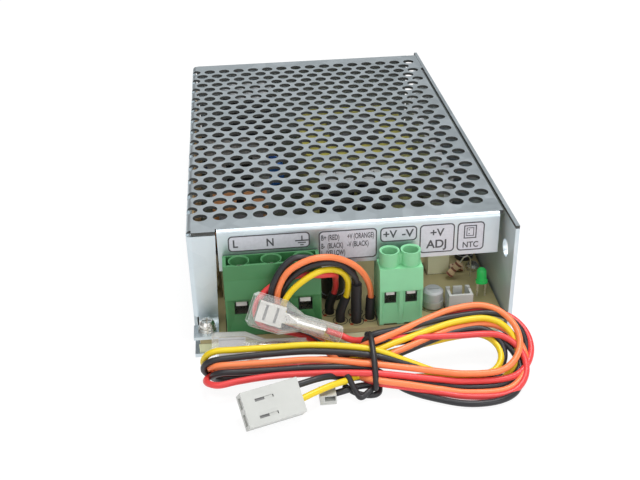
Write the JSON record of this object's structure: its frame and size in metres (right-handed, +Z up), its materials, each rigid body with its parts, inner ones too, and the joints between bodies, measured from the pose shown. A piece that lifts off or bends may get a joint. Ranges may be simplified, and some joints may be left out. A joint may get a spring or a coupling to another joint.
{
  "type": "enclosed power supply",
  "caption": "Enclosed switching power supply: folded steel chassis, perforated cover, green screw terminals with rising clamps, and a tied harness ending in spades and a plug",
  "frame": {"origin": "bottom centre of the case, on the face it stands on", "axes": "+X to the right seen from the terminals, +Y from the terminals to the back, +Z up"},
  "size_m": [0.0997, 0.1983, 0.038],
  "materials": {
    "galvanised_steel": "zinc-coated sheet, satin",
    "zinc_steel": "bright zinc plate",
    "tinned_brass": "tin plate, satin",
    "board": "bare phenolic board with black print",
    "insulation_film": "translucent film",
    "fibre_card": "pressed fibre",
    "dark_green_plastic": "moulded, slight sheen",
    "light_green_plastic": "moulded, slight sheen",
    "white_plastic": "moulded, slight sheen",
    "grey_plastic": "moulded, matt",
    "green_lens": "tinted clear resin",
    "resistor_lacquer": "lacquer with colour bands",
    "cream_plastic": "moulded box",
    "ferrite": "ground ferrite",
    "yellow_tape": "polyester tape",
    "black_film": "shrunk film, bare aluminium top",
    "copper_wire": "enamelled copper",
    "blue_lacquer": "dipped lacquer",
    "aluminium": "extruded",
    "black_plastic": "moulded epoxy",
    "fuse_ceramic": "ceramic tube with plated caps",
    "red_pvc": "insulation, soft sheen",
    "yellow_pvc": "insulation, soft sheen",
    "orange_pvc": "insulation, soft sheen",
    "black_pvc": "insulation, soft sheen",
    "shrink_sleeve": "shrink sleeve, matt",
    "clear_pvc": "clear flexible sleeve"
  },
  "bodies": {
    "case": {"chassis": "galvanised_steel", "cover": "galvanised_steel", "case_screws": "zinc_steel", "screw_washers": "zinc_steel", "pcb": "board", "standoffs": "zinc_steel", "insulation_sheet": "insulation_film", "side_insulator": "fibre_card", "ac_housing": "dark_green_plastic", "ac_busbars": "tinned_brass", "dc_housing": "light_green_plastic", "dc_busbars": "tinned_brass", "trimmer_base": "white_plastic", "ntc_header": "white_plastic", "ntc_pins": "tinned_brass", "led": "green_lens", "led_leads": "tinned_brass", "resistors": "resistor_lacquer", "resistor_leads": "tinned_brass", "film_capacitor": "cream_plastic", "transformer_core": "ferrite", "transformer_winding": "yellow_tape", "bulk_capacitor": "black_film", "electrolytics": "black_film", "choke_core": "ferrite", "choke_windings": "copper_wire", "disc_capacitors": "blue_lacquer", "heatsinks": "aluminium", "power_transistors": "black_plastic", "bridge_rectifier": "black_plastic", "fuse": "fuse_ceramic", "x_capacitor": "cream_plastic", "wire_red": "red_pvc", "wire_yellow": "yellow_pvc", "wire_orange": "orange_pvc", "wire_black_1": "black_pvc", "wire_black_2": "black_pvc", "wire_sleeves": "shrink_sleeve", "wire_hank": "orange_pvc", "hank_tie": "black_pvc", "spade_1": "tinned_brass", "spade_2": "tinned_brass", "spade_sleeve_1": "clear_pvc", "spade_sleeve_2": "clear_pvc", "plug_housing": "white_plastic", "plug_contacts": "tinned_brass", "tail_plug": "white_plastic"},
    "ac_screw_1": {"ac_screw_1": "zinc_steel"},
    "ac_screw_2": {"ac_screw_2": "zinc_steel"},
    "ac_screw_3": {"ac_screw_3": "zinc_steel"},
    "ac_cage_1": {"ac_cage_1": "tinned_brass"},
    "ac_cage_2": {"ac_cage_2": "tinned_brass"},
    "ac_cage_3": {"ac_cage_3": "tinned_brass"},
    "dc_screw_1": {"dc_screw_1": "zinc_steel"},
    "dc_screw_2": {"dc_screw_2": "zinc_steel"},
    "dc_cage_1": {"dc_cage_1": "tinned_brass"},
    "dc_cage_2": {"dc_cage_2": "tinned_brass"},
    "trimmer_knob": {"trimmer_knob": "grey_plastic"}
  },
  "joints": [
    {"name": "ac_screw_turn_1", "type": "hinge", "parent": "case", "child": "ac_screw_1", "pos_m": [-0.0336, -0.0747, 0.025], "axis": [0, 0, 1], "range_deg": [-1442, 2]},
    {"name": "ac_cage_lift_1", "type": "slide", "parent": "case", "child": "ac_cage_1", "axis": [0, 0, 1], "range_m": [0, 0.0028]},
    {"name": "ac_screw_turn_2", "type": "hinge", "parent": "case", "child": "ac_screw_2", "pos_m": [-0.0241, -0.0747, 0.025], "axis": [0, 0, 1], "range_deg": [-1442, 2]},
    {"name": "ac_cage_lift_2", "type": "slide", "parent": "case", "child": "ac_cage_2", "axis": [0, 0, 1], "range_m": [0, 0.0028]},
    {"name": "ac_screw_turn_3", "type": "hinge", "parent": "case", "child": "ac_screw_3", "pos_m": [-0.0146, -0.0747, 0.025], "axis": [0, 0, 1], "range_deg": [-1442, 2]},
    {"name": "ac_cage_lift_3", "type": "slide", "parent": "case", "child": "ac_cage_3", "axis": [0, 0, 1], "range_m": [0, 0.0028]},
    {"name": "dc_screw_turn_1", "type": "hinge", "parent": "case", "child": "dc_screw_1", "pos_m": [0.01103, -0.0747, 0.025], "axis": [0, 0, 1], "range_deg": [-1442, 2]},
    {"name": "dc_cage_lift_1", "type": "slide", "parent": "case", "child": "dc_cage_1", "axis": [0, 0, 1], "range_m": [0, 0.002]},
    {"name": "dc_screw_turn_2", "type": "hinge", "parent": "case", "child": "dc_screw_2", "pos_m": [0.01738, -0.0747, 0.025], "axis": [0, 0, 1], "range_deg": [-1442, 2]},
    {"name": "dc_cage_lift_2", "type": "slide", "parent": "case", "child": "dc_cage_2", "axis": [0, 0, 1], "range_m": [0, 0.002]},
    {"name": "trimmer_turn", "type": "hinge", "parent": "case", "child": "trimmer_knob", "pos_m": [0.0258, -0.07, 0.01], "axis": [0, 0, 1], "range_deg": [-130, 130]}
  ],
  "couplings": [
    {"joint": "ac_screw_turn_1", "follows": "ac_cage_lift_1", "rad_per_m": -8976},
    {"joint": "ac_screw_turn_2", "follows": "ac_cage_lift_2", "rad_per_m": -8976},
    {"joint": "ac_screw_turn_3", "follows": "ac_cage_lift_3", "rad_per_m": -8976},
    {"joint": "dc_screw_turn_1", "follows": "dc_cage_lift_1", "rad_per_m": -12566},
    {"joint": "dc_screw_turn_2", "follows": "dc_cage_lift_2", "rad_per_m": -12566}
  ]
}
